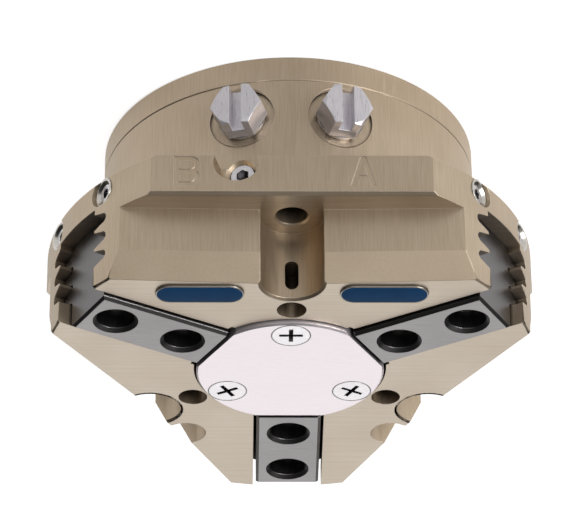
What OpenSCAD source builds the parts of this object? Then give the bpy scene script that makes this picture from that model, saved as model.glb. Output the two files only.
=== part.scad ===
// Three-jaw centric gripper with multi-tooth guides and a wedge-hook drive.
// Origin: centre of the flat mounting face. +Z points towards the jaws.
// The jaws are drawn closed, at the inner end of their stroke.
// Millimetres throughout. Every radial feature is drawn along +X and then turned to its angle.

/* [Drum and cover] */
// Diameter of the round drive drum
drum_d = 80; // [78:0.5:86]
// Bore of the pneumatic cylinder
bore_d = 56; // [48:0.5:57]
// Thickness of the end cover
cover_h = 5.7; // [5:0.1:7]
// Height of the pilot that centres the cover in the bore
cover_pilot_h = 1; // [0.6:0.1:1.6]
// Break on both edges of the cover seam
seam_edge = 0.2; // [0.1:0.05:0.4]
// Nominal size of the cover screws
cover_screw_d = 4; // [3:0.5:5]
// Engaged length of the cover screws in the drum
cover_screw_grip = 9; // [6:0.5:11]

/* [Piston] */
// Thickness of the piston
piston_h = 8; // [7.4:0.1:9]
// Full stroke of the piston
piston_stroke = 10; // [8:0.5:11]
// Diameter of the piston rod
rod_d = 18; // [16:0.5:19]
// Thickness of the bulkhead between cylinder and guide cavity
bulkhead_h = 3.9; // [3.6:0.1:5]
// Free height left at either end of the stroke
end_gap = 0.3; // [0.2:0.05:0.6]
// Radial running clearance of piston and rod
running_gap = 0.05; // [0.02:0.01:0.1]
// Nominal size of the screw that holds the piston on its rod
piston_screw_d = 8; // [6:0.5:8]

/* [Seals] */
// Width of the piston seal groove
piston_seal_w = 2.4; // [2:0.1:2.8]
// Depth of the piston seal groove
piston_seal_t = 2.2; // [1.6:0.1:3]
// Width of the rod seal groove
rod_seal_w = 2.1; // [1.8:0.1:2.4]
// Depth of the rod seal groove
rod_seal_t = 2.3; // [1.6:0.1:3]
// Cord thickness of the static O-rings
o_ring_d = 1.5; // [1:0.1:1.6]
// Clearance of every seal against the face that slides on it
seal_gap = 0.03; // [0.01:0.01:0.05]

/* [Lobed head] */
// Diameter over the three lobes
head_d = 103; // [100:0.5:108]
// Height of the head above the underside of the lobes
lobe_h = 25.7; // [25:0.1:28]
// Bevel on the outer edges of the lobes
lobe_edge = 1; // [0.4:0.1:1.4]
// Distance from the axis to the lettered pads
pad_r = 43.4; // [42.5:0.1:44.5]
// Distance from the axis to the upright block faces
block_r = 37.5; // [37:0.1:39]
// Distance from the axis to the top edge of the slanted faces
bevel_r = 34.5; // [33.5:0.1:36]
// Depth of the mounting ledges below the top face
ledge_drop = 16.2; // [14:0.1:17]
// Height of the slanted faces
bevel_drop = 5.8; // [3:0.1:8]
// Bevel between each lettered pad and its ledge
pad_edge = 0.7; // [0.3:0.1:1]

/* [Mounting] */
// Pitch circle of the three through holes
mount_pcd = 69.3; // [68.5:0.1:71]
// Clearance hole for a mounting screw
mount_hole_d = 6.6; // [5.5:0.1:6.8]
// Width of the screw access channel above each ledge
access_d = 13.2; // [12:0.1:14]
// Bevel on the mouth of each access channel
access_edge = 0.5; // [0.2:0.1:0.8]
// Bevel on the mouth of each mounting hole
mount_hole_edge = 0.4; // [0.2:0.1:0.8]
// Dowel holes in the mounting face
dowel_d = 5; // [4:0.5:6]
// Depth of the dowel holes
dowel_depth = 8; // [6.5:0.5:10]
// Width of the oblong window in the back of each access channel
window_w = 2.8; // [2:0.1:4]
// Height of the oblong window
window_h = 6.9; // [5:0.1:8]
// Depth of the top of the window below the top face
window_drop = 2.6; // [2:0.1:3]
// Round hole between the window and the centre plate
face_hole_d = 6.2; // [5:0.1:6.6]
// Depth of that hole
face_hole_depth = 10; // [9.5:0.5:12]
// Width of the sensor recesses beside the far lobe
sensor_w = 8.6; // [8:0.1:9]
// Distance of the round backs of the sensor recesses from the axis, square to the flank
sensor_back_r = 28.9; // [28.5:0.1:30]
// Sideways offset of the sensor recesses along the flank
sensor_side = 12.8; // [12.2:0.1:13.5]
// Depth of the sensor recesses below the top face
sensor_depth = 16.2; // [12:0.1:17]

/* [Multi-tooth guide] */
// Depth of the guide channels below the top face
guide_h = 19.15; // [19:0.05:20]
// Width of the guide channels between the tooth tips
guide_w = 13.2; // [12.6:0.1:14]
// Number of teeth on each side
tooth_count = 3; // [2:1:3]
// Pitch of the teeth
tooth_pitch = 4.5; // [4.3:0.05:4.7]
// Height of the lowest groove above the channel floor
tooth_first = 3.25; // [2.8:0.05:3.4]
// Depth of the grooves
tooth_depth = 3.5; // [2.5:0.1:4]
// Height of a groove at its mouth
tooth_mouth = 3.9; // [3.4:0.1:4.1]
// Height of a groove at its bottom
tooth_root = 1.7; // [1.4:0.1:2.2]
// Bevel in the bottom corners of the grooves
tooth_edge = 0.5; // [0.2:0.1:0.6]
// Clearance between jaw and guide, square to each face
guide_gap = 0.1; // [0.05:0.01:0.15]

/* [Jaws] */
// Stroke of each jaw
jaw_stroke = 8; // [4:0.5:8]
// Height of the jaws above the top face
jaw_proud = 1; // [0.5:0.1:2]
// Distance of the closed jaws' outer ends from the lobe surface
jaw_setback = 3.1; // [2.5:0.1:5]
// Gap between the centre plate and the closed jaws
jaw_rest_gap = 1.1; // [0.6:0.1:1.5]
// Bevel on the jaw edges
jaw_edge = 0.6; // [0.2:0.1:0.9]
// Fit bore for a finger centring sleeve
sleeve_d = 8; // [6:0.5:9]
// Depth of the sleeve bores
sleeve_depth = 5; // [3:0.5:6]
// Bevel on the mouth of the sleeve bores
sleeve_edge = 0.8; // [0.3:0.1:0.9]
// Finger thread
finger_thread_d = 5; // [4:0.5:6]
// Depth of the finger threads below the jaw face
finger_thread_depth = 14; // [10:0.5:16]
// Pitch of the two finger holes
finger_pitch = 16; // [14:0.5:17]
// Distance from the jaw's outer end to the outer finger hole
finger_inset = 6.1; // [5.6:0.1:7]

/* [Wedge hook] */
// Height of the hooked head of the wedge
wedge_h = 11; // [9:0.5:11]
// Width of the three wedge arms
arm_w = 14.6; // [14:0.1:15]
// Turned diameter of the wedge head
wedge_d = 40.8; // [38:0.2:41]
// Depth of the central cavity below the guide channels
cavity_drop = 4.65; // [4:0.05:6]
// Height of the jaw hooks
hook_h = 12; // [9:0.5:12]
// Width of the hook head
hook_w = 10; // [9:0.1:10.4]
// Width of the hook neck
neck_w = 5.6; // [4.5:0.1:6.5]
// Radial thickness of the hook head
hook_t = 3; // [2.4:0.1:3.4]
// Radial thickness of the lips that the hooks pull on
lip_t = 2.5; // [2:0.1:3]
// Distance from the axis to the inner tip of a closed hook
hook_tip_r = 3.5; // [3.2:0.1:4]
// Radial clearance between hook and wedge
hook_gap = 0.12; // [0.06:0.01:0.2]

/* [Centre plate] */
// Diameter of the centre plate
plate_d = 40; // [39:0.2:42]
// Distance from the axis to the flats that face the jaws
plate_flat_r = 18.2; // [17.6:0.1:18.8]
// Thickness of the plate
plate_h = 5; // [4.8:0.1:6]
// Height of the plate above the top face
plate_proud = 1; // [0.5:0.1:2]
// Clearance round the plate
plate_gap = 0.5; // [0.2:0.05:0.7]
// Distance of the plate screws from the axis
plate_screw_r = 15.4; // [15:0.1:15.8]
// Nominal size of the plate screws
plate_screw_d = 4; // [3:0.5:4.5]
// Length of the plate screws
plate_screw_len = 13; // [10:0.5:15]

/* [Ports and small screws] */
// Height of the two air ports
port_z = 14.8; // [14:0.1:16]
// Angle of either air port from the middle of the front flank
port_angle = 15; // [13:0.5:17]
// Spot face round each port
spot_face_d = 13.3; // [12:0.1:14]
// Depth of the spot faces below the drum surface
spot_face_depth = 0.8; // [0.6:0.1:1.2]
// Bevel on the rim of the spot faces
spot_face_edge = 0.5; // [0.2:0.1:0.6]
// Port thread
port_thread_d = 5; // [4:0.5:6]
// Width across the flats of the plug heads
plug_flats = 9.1; // [8:0.1:10]
// Height of the plug heads
plug_head_h = 3.7; // [3:0.1:4.5]
// Turned bevel on the corners of the plug heads
plug_head_edge = 0.6; // [0.3:0.1:0.8]
// Width of the screwdriver slot in the plugs
plug_slot_w = 2.5; // [1:0.1:3]
// Depth of the screwdriver slot
plug_slot_depth = 2; // [1:0.1:2.4]
// Thickness of the sealing washers
washer_h = 1; // [0.5:0.1:1.5]
// Diameter of the air galleries
gallery_d = 3; // [2:0.5:3.5]
// Length of the set screws that close the galleries
base_plug_len = 4; // [3:0.5:4.5]
// Height of the throttle screw
throttle_z = 28.9; // [28.4:0.1:29.6]
// Milled pocket round the throttle screw
throttle_pocket_d = 9.2; // [8:0.1:10]
// Nominal size of the throttle screw
throttle_d = 5; // [4:0.5:6]
// Sideways offset of the lobe screws from the jaw axis
lobe_screw_side = 8.4; // [8.2:0.1:9]
// Height of the lobe screws below the guide floor
lobe_screw_drop = 3.45; // [3.4:0.05:4]
// Outer diameter of the lobe screw bushes
bush_d = 6.4; // [6:0.1:6.6]
// Length of the bushes
bush_len = 6; // [4:0.5:8]
// Bevel on the mouth of the bushes
bush_edge = 0.7; // [0.3:0.1:0.9]
// Nominal size of the lobe screws
lobe_screw_d = 4; // [3:0.5:4.5]
// Drop of the small set screws below the surface round them
set_screw_drop = 0.6; // [0.2:0.1:1]

/* [Port letters] */
// Height of the letters beside the ports
letter_h = 7.4; // [5:0.1:8]
// Width of the letters
letter_w = 5.5; // [4:0.1:6]
// Width of the engraved strokes
letter_line = 1.1; // [0.8:0.1:1.4]
// Depth of the engraving
letter_depth = 0.2; // [0.1:0.05:0.4]
// Sideways position of the letter B
letter_b_side = 21.75; // [19:0.05:23]
// Sideways position of the letter A
letter_a_side = -14.75; // [-20:0.05:-12]
// Height of the middle of the letters below the ledge
letter_drop = 5.6; // [5.4:0.1:5.8]

/* [Badges] */
// Length of the bare name plates
badge_len = 18.4; // [12:0.2:19]
// Width of the name plates
badge_w = 6.3; // [4:0.1:6.4]
// Thickness of the name plates
badge_h = 0.6; // [0.3:0.1:1]
// Distance of the name plates from the top edge of the slanted face
badge_inset = 0.5; // [0.3:0.1:0.9]
// Sideways position of the name plates
badge_side = 19.05; // [17:0.05:20]

/* [Hidden] */
$fn = 96;
cut = 1;          // overrun of every cutting solid
skin = 0.001;     // overlap of solids that would only touch
fit_gap = 0.05;   // radial clearance of screws in their threads
free_gap = 0.4;   // free space round the wedge
arm_gap = 0.3;    // free space beside a wedge arm
floor_gap = 0.15; // free space under a jaw
shelf_gap = 0.25; // free space between a jaw and the centre plate
land = 1;         // least wall beside a groove or gallery
face_hole_land = 0.45; // wall between the plate recess and a face hole

// Angles of the three jaws, and of the three flanks between them
jaw_angles = [90, 210, 330];
flank_angles = [270, 30, 150];
cover_screw_angles = [0 : 60 : 300];
front = 270;
port_angles = [front - port_angle, front + port_angle];

// Radii
drum_r = drum_d / 2;
bore_r = bore_d / 2;
head_r = head_d / 2;
mount_r = mount_pcd / 2;
rod_r = rod_d / 2;
wedge_r = wedge_d / 2;
plate_r = plate_d / 2;
recess_r = plate_r + plate_gap;
cavity_r = wedge_r + free_gap;
cover_screw_r = (bore_r + drum_r) / 2;
cover_groove_r = bore_r + land + o_ring_d / 2;
gallery_r = (bore_r + drum_r) / 2 - land;
face_hole_r = recess_r + face_hole_land + face_hole_d / 2;

// Heights, stacked from the mounting face
piston_z = cover_h + cover_pilot_h + end_gap;
piston_top_z = piston_z + piston_h;
chamber_top_z = piston_top_z + piston_stroke + end_gap;
cavity_z = chamber_top_z + bulkhead_h;
wedge_z = cavity_z + end_gap;
wedge_top_z = wedge_z + wedge_h;
guide_z = cavity_z + cavity_drop;
head_z = guide_z + guide_h;
lobe_z = head_z - lobe_h;
ledge_z = head_z - ledge_drop;
bevel_z = head_z - bevel_drop;
plate_top_z = head_z + plate_proud;
plate_z = plate_top_z - plate_h;
seal_z = (chamber_top_z + cavity_z) / 2;
wedge_pocket_z = wedge_top_z + piston_stroke + end_gap;

// Jaws: everything is given for the closed position
jaw_z = guide_z + floor_gap;
jaw_top_z = head_z + jaw_proud;
jaw_half = guide_w / 2 - guide_gap * 2;
jaw_in_r = plate_flat_r + jaw_rest_gap;
jaw_out_r = head_r - jaw_setback;
jaw_teeth_r = cavity_r + free_gap;
jaw_shelf_z = plate_z - shelf_gap;
hook_top_z = jaw_z + hook_h;
slope = jaw_stroke / piston_stroke;

// Radial places on the slanted hook, at height z
function hook_in(z) = hook_tip_r + slope * (hook_top_z - z);
function hook_out(z) = hook_in(z) + hook_t;
function lip_out(z) = hook_out(z) + lip_t;

// Small parts
head_cone = 1.1;                        // countersunk head height, per half of the size
socket_w = 0.58;                        // width of a set screw's socket, per size
socket_h = 0.6;                         // depth of a set screw's socket, per size
cross_span = 1.24;                      // length of a cross recess, per size
cross_arm = 0.22;                       // width of its arms, per size
cross_h = 0.45;                         // depth of a cross recess, per size
base_plug_wall = 0.5;                   // thread of a gallery plug outside its bore, per side
base_plug_d = gallery_d + 2 * base_plug_wall;
washer_d = plug_flats + 0.9;
port_floor_r = drum_r - spot_face_depth;
plug_seat_r = port_floor_r + washer_h;
port_len = port_floor_r - gallery_r;
letter_bar = 0.23;                      // height of the bar of the letter A, per letter height
plug_cone = tan(60);                    // the corners of a hexagon head are turned at 30 degrees
throttle_floor_r = drum_r + 0.2;        // the pocket leaves the drum itself untouched
throttle_cone_h = 0.9;                  // countersink at the mouth of the throttle thread
lobe_screw_z = guide_z - lobe_screw_drop;
lobe_face_r = sqrt(head_r * head_r - lobe_screw_side * lobe_screw_side);
relief_h = 2;                           // air relief on both ends of the piston rim
relief_w = 1.5;                         // width of those reliefs
relief_r = bore_r - relief_w;
spigot_r = rod_r * 2 / 3;               // centring spigot of the rod in the piston
screw_head_r = piston_screw_d * 0.8;    // cap screw head of the piston screw
screw_hex = piston_screw_d * 0.86;      // its socket, over the corners
screw_head_z = piston_z + 0.2;          // the head lies just inside the piston
screw_seat_z = piston_z + piston_h * 0.56;
screw_tip_drop = 3;                     // tip of the piston screw below the foot of the hooks
screw_top_z = wedge_z - screw_tip_drop;

// ---------------------------------------------------------------- helpers

// Copies of a radial feature, one at each angle
module around(angles) {
    for (a = angles) rotate([0, 0, a]) children();
}

// A side outline in X (radial) and Z, with a width across Y
module side_plate(width) {
    rotate([90, 0, 0]) linear_extrude(width, center = true) children();
}

// An end outline in Y and Z, pushed along X from x0 to x1
module radial_bar(x0, x1) {
    translate([x0, 0, 0]) rotate([90, 0, 90]) linear_extrude(x1 - x0) children();
}

// A round bar that lies along X from x0 to x1
module radial_rod(d, x0, x1) {
    translate([x0, 0, 0]) rotate([0, 90, 0]) cylinder(d = d, h = x1 - x0);
}

// A cone that lies along X, with diameter d0 at x0 and d1 at x1
module radial_cone(d0, d1, x0, x1) {
    translate([x0, 0, 0]) rotate([0, 90, 0]) cylinder(d1 = d0, d2 = d1, h = x1 - x0);
}

// A flat ring round the Z axis
module ring(r_in, r_out, z0, z1) {
    rotate_extrude() translate([r_in, z0]) square([r_out - r_in, z1 - z0]);
}

// An O-ring that lies flat
module o_ring(r, cord, z) {
    translate([0, 0, z]) rotate_extrude() translate([r, 0]) circle(d = cord, $fn = 32);
}

// Right-hand points of a toothed outline, from the floor up
function tooth_side(half, mouth, root, depth, z0, z1, edge) = concat(
    [[half, z0]],
    [for (i = [0 : tooth_count - 1])
        let (z = guide_z + tooth_first + i * tooth_pitch,
             flank = root / 2 + (mouth - root) / 2 * tooth_edge / depth)
        each [[half, z - mouth / 2], [half + depth - tooth_edge, z - flank],
              [half + depth, z - root / 2 + tooth_edge], [half + depth, z + root / 2 - tooth_edge],
              [half + depth - tooth_edge, z + flank], [half, z + mouth / 2]]],
    [[half, z1 - edge], [half - edge, z1]]);

// Closed toothed outline, made of that side and its mirror image
module toothed_outline(half, mouth, root, depth, z0, z1, edge = 0) {
    side = tooth_side(half, mouth, root, depth, z0, z1, edge);
    last = len(side) - 1;
    polygon(concat(side, [for (i = [last : -1 : 0]) [-side[i][0], side[i][1]]]));
}

// Slanted band that follows the hook, between two offsets from its inner face
module hook_band(width, in_off, out_off, z0, z1) {
    side_plate(width) polygon([
        [hook_in(z0) + in_off, z0], [hook_in(z0) + out_off, z0],
        [hook_in(z1) + out_off, z1], [hook_in(z1) + in_off, z1]]);
}

// Countersunk screw that points down, with its flat head at the origin
module countersunk(d, len) {
    head_h = d / 2 * head_cone;
    cylinder(h = head_h, d1 = d, d2 = d * 2 + skin);
    translate([0, 0, head_h - len]) cylinder(h = len - head_h + skin, d = d);
}

// Cross recess cut into a screw head at z = 0
module cross_recess(d) {
    span = d * cross_span;
    arm = d * cross_arm;
    depth = d * cross_h;
    for (a = [0, 90]) rotate([0, 0, a])
        translate([-span / 2, -arm / 2, -depth]) cube([span, arm, depth + cut]);
}

// Set screw along X with its socket at the outer end
module set_screw(d, x0, x1) {
    difference() {
        radial_rod(d, x0, x1);
        translate([x1 - d * socket_h, 0, 0]) rotate([0, 90, 0]) cylinder(d = d * socket_w, h = d, $fn = 6);
    }
}

// ---------------------------------------------------------------- housing

// Outline of one flank, cut away outside pad, ledge, block face and slant
module flank_cut() {
    side_plate(head_d + 2 * cut) polygon([
        [pad_r, lobe_z - cut], [pad_r, ledge_z - pad_edge], [pad_r - pad_edge, ledge_z],
        [block_r, ledge_z], [block_r, bevel_z],
        [bevel_r, head_z], [bevel_r, head_z + cut], [head_r + cut, head_z + cut],
        [head_r + cut, lobe_z - cut]]);
}

module head_blank() {
    difference() {
        rotate_extrude($fn = 192) polygon([
            [0, cover_h], [drum_r - seam_edge, cover_h], [drum_r, cover_h + seam_edge],
            [drum_r, lobe_z], [head_r - lobe_edge / 2, lobe_z], [head_r, lobe_z + lobe_edge / 2],
            [head_r, head_z - lobe_edge], [head_r - lobe_edge, head_z], [0, head_z]]);
        around(flank_angles) flank_cut();
    }
}

// Toothed channel, open at the top and at its outer end
module guide_channel() {
    radial_bar(0, head_r + cut)
        toothed_outline(guide_w / 2, tooth_mouth, tooth_root, tooth_depth, guide_z, head_z + cut);
}

// Central cavity in which the wedge arms travel
module wedge_cavity() {
    intersection() {
        around(jaw_angles)
            translate([0, -arm_w / 2 - arm_gap, cavity_z])
                cube([cavity_r, arm_w + 2 * arm_gap, head_z - cavity_z + cut]);
        translate([0, 0, cavity_z]) cylinder(r = cavity_r, h = head_z - cavity_z + cut);
    }
}

// Through hole, ledge channel, window and face hole of one flank
module mounting_cut() {
    translate([mount_r, 0, 0]) {
        cylinder(d = mount_hole_d, h = head_z);
        translate([0, 0, ledge_z - mount_hole_edge])
            cylinder(d1 = mount_hole_d, d2 = mount_hole_d + 2 * mount_hole_edge, h = mount_hole_edge + skin);
        translate([0, 0, ledge_z]) {
            cylinder(d = access_d, h = ledge_drop + cut);
            translate([0, -access_d / 2, 0]) cube([head_r, access_d, ledge_drop + cut]);
        }
        translate([0, 0, head_z - access_edge])
            cylinder(d1 = access_d, d2 = access_d + 2 * access_edge, h = access_edge);
        radial_bar(0, head_r) polygon([
            [-access_d / 2, head_z - access_edge], [access_d / 2, head_z - access_edge],
            [access_d / 2 + access_edge, head_z], [-access_d / 2 - access_edge, head_z]]);
    }
    window_mid = head_z - window_drop - window_h / 2;
    radial_bar(face_hole_r, mount_r) for (s = [-1, 1]) {
        translate([0, window_mid + s * (window_h - window_w) / 2]) circle(d = window_w);
        translate([-window_w / 2, window_mid - (window_h - window_w) / 2])
            square([window_w, window_h - window_w]);
    }
    translate([face_hole_r, 0, head_z - face_hole_depth])
        cylinder(d = face_hole_d, h = face_hole_depth + cut);
    translate([plate_screw_r, 0, plate_top_z - plate_screw_len - cut])
        cylinder(d = plate_screw_d + 2 * fit_gap, h = plate_screw_len + cut);
}

// Air port, its gallery and the passage into the chamber at height z
module port_cut(z, gallery_top) {
    translate([0, 0, port_z]) {
        radial_rod(spot_face_d, port_floor_r, drum_r + cut);
        radial_cone(spot_face_d, spot_face_d + 2 * (spot_face_edge + cut),
            drum_r - spot_face_edge, drum_r + cut);
        radial_rod(port_thread_d + 2 * fit_gap, gallery_r, drum_r);
    }
    translate([gallery_r, 0, 0]) cylinder(d = gallery_d, h = gallery_top);
    translate([0, 0, z]) radial_rod(relief_h, bore_r - cut, gallery_r);
}

module throttle_cut() {
    translate([0, 0, throttle_z]) {
        radial_rod(throttle_pocket_d, throttle_floor_r, head_r);
        radial_rod(throttle_d + 2 * fit_gap, gallery_r, drum_r + cut);
        radial_cone(throttle_d + 2 * fit_gap, throttle_d * 1.4,
            throttle_floor_r - throttle_cone_h, throttle_floor_r + skin);
    }
}

module lobe_screw_cut() {
    for (s = [-1, 1]) translate([0, s * lobe_screw_side, lobe_screw_z]) {
        radial_rod(bush_d + 2 * fit_gap, lobe_face_r - bush_len - set_screw_drop, head_r + cut);
        radial_rod(lobe_screw_d + 2 * fit_gap, lobe_face_r - 2 * bush_len, head_r);
    }
}

// Upright recess with a round back, open to the flank
module sensor_recess(side) {
    translate([sensor_back_r + sensor_w / 2, side * sensor_side, head_z - sensor_depth]) {
        cylinder(d = sensor_w, h = sensor_depth + cut);
        translate([0, -sensor_w / 2, 0]) cube([head_r, sensor_w, sensor_depth + cut]);
    }
}

// Letter strokes lie in the XY plane, upright along Y, centred on the origin, and are thick along Z
module letter_a(h, w, line, thick) {
    bar_z = h * letter_bar;
    lean = (w - line) / 2 / h;
    translate([-w / 2, -h / 2, 0]) linear_extrude(thick) polygon([
        [0, 0], [(w - line) / 2, h], [(w + line) / 2, h], [w, 0], [w - line, 0],
        [w - line - lean * bar_z, bar_z], [line + lean * bar_z, bar_z], [line, 0]]);
}

module letter_bowl(h, w, thick) {
    cube([w - h / 2, h, thick]);
    translate([w - h / 2, h / 2, 0]) cylinder(d = h, h = thick);
}

module letter_b(h, w, line, thick) {
    bowl = (h + line) / 2;
    translate([-w / 2, -h / 2, 0]) for (y = [0, bowl - line]) translate([0, y, 0])
        difference() {
            letter_bowl(bowl, w, thick);
            translate([line, line, -cut]) letter_bowl(bowl - 2 * line, w - 2 * line, thick + 2 * cut);
        }
}

// Puts a letter drawn in the XY plane on the front pad, with its foot towards the jaws
module on_front_pad(side) {
    translate([side, letter_depth - pad_r, ledge_z - letter_drop]) rotate([90, 180, 0]) children();
}

module port_letters() {
    thick = letter_depth + cut;
    on_front_pad(letter_b_side) letter_b(letter_h, letter_w, letter_line, thick);
    on_front_pad(letter_a_side) difference() {
        letter_a(letter_h, letter_w, letter_line, thick);
        eye_z = letter_h * letter_bar + letter_line;
        lean = (letter_w - letter_line) / 2 / letter_h;
        translate([0, -letter_h / 2, -cut]) linear_extrude(thick + 2 * cut) polygon([
            [-letter_w / 2 + letter_line + lean * eye_z, eye_z],
            [letter_w / 2 - letter_line - lean * eye_z, eye_z],
            [0, (letter_w / 2 - letter_line) / lean]]);
    }
}

module housing() {
    color([0.68, 0.62, 0.53]) difference() {
        head_blank();
        port_letters();
        translate([0, 0, cover_h - cut]) cylinder(r = bore_r, h = chamber_top_z - cover_h + cut);
        cylinder(r = rod_r + running_gap, h = head_z);
        ring(rod_r, rod_r + rod_seal_t, seal_z - rod_seal_w / 2, seal_z + rod_seal_w / 2);
        wedge_cavity();
        around(jaw_angles) guide_channel();
        translate([0, 0, plate_z]) cylinder(r = recess_r, h = head_z - plate_z + cut);
        around(flank_angles) mounting_cut();
        rotate([0, 0, flank_angles[1]]) sensor_recess(1);
        rotate([0, 0, flank_angles[2]]) sensor_recess(-1);
        rotate([0, 0, port_angles[0]]) port_cut(chamber_top_z - relief_h, chamber_top_z - cut);
        rotate([0, 0, port_angles[1]]) port_cut(piston_z + relief_h / 2, port_z);
        rotate([0, 0, port_angles[1]]) throttle_cut();
        around(jaw_angles) lobe_screw_cut();
        around(cover_screw_angles) translate([cover_screw_r, 0, 0])
            cylinder(d = cover_screw_d + 2 * fit_gap, h = cover_h + cover_screw_grip + cut);
        around([jaw_angles[1], jaw_angles[2]]) translate([mount_r, 0, 0])
            cylinder(d = dowel_d, h = dowel_depth);
    }
}

// ---------------------------------------------------------------- end cover

module end_cover() {
    color([0.68, 0.62, 0.53]) difference() {
        rotate_extrude($fn = 192) polygon([
            [0, 0], [drum_r - 2 * seam_edge, 0], [drum_r, 2 * seam_edge], [drum_r, cover_h - seam_edge],
            [drum_r - seam_edge, cover_h], [bore_r - running_gap, cover_h],
            [bore_r - running_gap, cover_h + cover_pilot_h], [0, cover_h + cover_pilot_h]]);
        ring(cover_groove_r - o_ring_d / 2, cover_groove_r + o_ring_d / 2, cover_h - o_ring_d, cover_h + cut);
        around(flank_angles) translate([mount_r, 0, -cut]) cylinder(d = mount_hole_d, h = head_z);
        around([jaw_angles[1], jaw_angles[2]]) translate([mount_r, 0, -cut])
            cylinder(d = dowel_d, h = dowel_depth);
        around(port_angles) translate([gallery_r, 0, -cut]) {
            cylinder(d = gallery_d, h = head_z);
            cylinder(d = base_plug_d + 2 * fit_gap, h = base_plug_len + 4 * fit_gap + cut);
        }
        around(cover_screw_angles) translate([cover_screw_r, 0, 0]) {
            translate([0, 0, -cut]) cylinder(d = cover_screw_d + 2 * fit_gap, h = head_z);
            translate([0, 0, -skin]) cylinder(d1 = cover_screw_d * 2 + 2 * fit_gap,
                d2 = cover_screw_d + 2 * fit_gap, h = cover_screw_d / 2 * head_cone + fit_gap);
        }
    }
}

module cover_seal() {
    color("black") o_ring(cover_groove_r, o_ring_d, cover_h - o_ring_d / 2);
}

module cover_screws() {
    color("silver") around(cover_screw_angles) translate([cover_screw_r, 0, 0]) mirror([0, 0, 1])
        difference() {
            translate([0, 0, -cover_screw_d / 2 * head_cone])
                countersunk(cover_screw_d, cover_h + cover_screw_grip);
            cross_recess(cover_screw_d);
        }
}

module base_plugs() {
    color("dimgray") around(port_angles) translate([gallery_r, 0, base_plug_len]) rotate([0, 90, 0])
        set_screw(base_plug_d, 0, base_plug_len);
}

// ---------------------------------------------------------------- drive

module piston() {
    rim = bore_r - running_gap;
    groove_z = piston_z + piston_h / 2;
    color([0.72, 0.72, 0.74]) difference() {
        rotate_extrude() polygon([
            [0, piston_z], [relief_r, piston_z], [relief_r, piston_z + relief_h], [rim, piston_z + relief_h],
            [rim, groove_z - piston_seal_w / 2], [rim - piston_seal_t, groove_z - piston_seal_w / 2],
            [rim - piston_seal_t, groove_z + piston_seal_w / 2], [rim, groove_z + piston_seal_w / 2],
            [rim, piston_top_z - relief_h], [relief_r, piston_top_z - relief_h],
            [relief_r, piston_top_z], [0, piston_top_z]]);
        translate([0, 0, piston_z - cut]) cylinder(d = piston_screw_d + 2 * fit_gap, h = piston_h + 2 * cut);
        translate([0, 0, piston_z - cut])
            cylinder(r = screw_head_r + 4 * fit_gap, h = screw_seat_z - piston_z + cut);
        translate([0, 0, piston_top_z - o_ring_d])
            cylinder(r = spigot_r + fit_gap, h = o_ring_d + cut);
        ring(spigot_r, spigot_r + o_ring_d, piston_top_z - o_ring_d, piston_top_z + cut);
    }
}

module piston_seal() {
    groove_z = piston_z + piston_h / 2;
    color("black") ring(bore_r - running_gap - piston_seal_t, bore_r - seal_gap,
        groove_z - piston_seal_w / 2, groove_z + piston_seal_w / 2);
}

module piston_screw() {
    color("dimgray") difference() {
        union() {
            translate([0, 0, screw_head_z]) cylinder(r = screw_head_r, h = screw_seat_z - screw_head_z);
            translate([0, 0, screw_seat_z - skin])
                cylinder(d = piston_screw_d, h = screw_top_z - screw_seat_z);
        }
        translate([0, 0, screw_head_z - cut])
            cylinder(d = screw_hex, h = (screw_seat_z - screw_head_z) * 2 / 3 + cut, $fn = 6);
    }
}

module rod_o_ring() {
    color("black") o_ring(spigot_r + o_ring_d / 2, o_ring_d, piston_top_z - o_ring_d / 2);
}

module rod_seal() {
    color("black") ring(rod_r + seal_gap, rod_r + rod_seal_t,
        seal_z - rod_seal_w / 2, seal_z + rod_seal_w / 2);
}

// Three-armed head with slanted undercut slots, on the piston rod
module wedge_hook() {
    color([0.56, 0.56, 0.58]) difference() {
        union() {
            intersection() {
                around(jaw_angles) translate([0, -arm_w / 2, wedge_z]) cube([wedge_r, arm_w, wedge_h]);
                translate([0, 0, wedge_z]) cylinder(r = wedge_r, h = wedge_h);
            }
            translate([0, 0, piston_top_z]) cylinder(r = rod_r, h = wedge_z - piston_top_z + cut);
            translate([0, 0, piston_top_z - o_ring_d]) cylinder(r = spigot_r, h = o_ring_d + cut);
        }
        around(jaw_angles) {
            z0 = wedge_z - cut;
            z1 = wedge_top_z + cut;
            hook_band(hook_w + 2 * hook_gap, -hook_gap, hook_t + hook_gap, z0, z1);
            hook_band(neck_w + 2 * hook_gap, 0, wedge_r, z0, z1);
            hook_band(arm_w + 2 * cut, hook_t + lip_t, wedge_r, z0, z1);
        }
        translate([0, 0, piston_top_z - 2 * o_ring_d])
            cylinder(d = piston_screw_d + 2 * fit_gap, h = wedge_z - piston_top_z + 2 * o_ring_d - land);
    }
}

// ---------------------------------------------------------------- jaws

module finger_holes() {
    for (x = [jaw_out_r - finger_inset - finger_pitch, jaw_out_r - finger_inset])
        translate([x, 0, jaw_top_z]) {
            translate([0, 0, -sleeve_depth]) cylinder(d = sleeve_d, h = sleeve_depth + cut);
            translate([0, 0, -finger_thread_depth])
                cylinder(d = finger_thread_d, h = finger_thread_depth);
            translate([0, 0, -sleeve_edge])
                cylinder(d1 = sleeve_d, d2 = sleeve_d + 2 * sleeve_edge, h = sleeve_edge + skin);
        }
}

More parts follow.
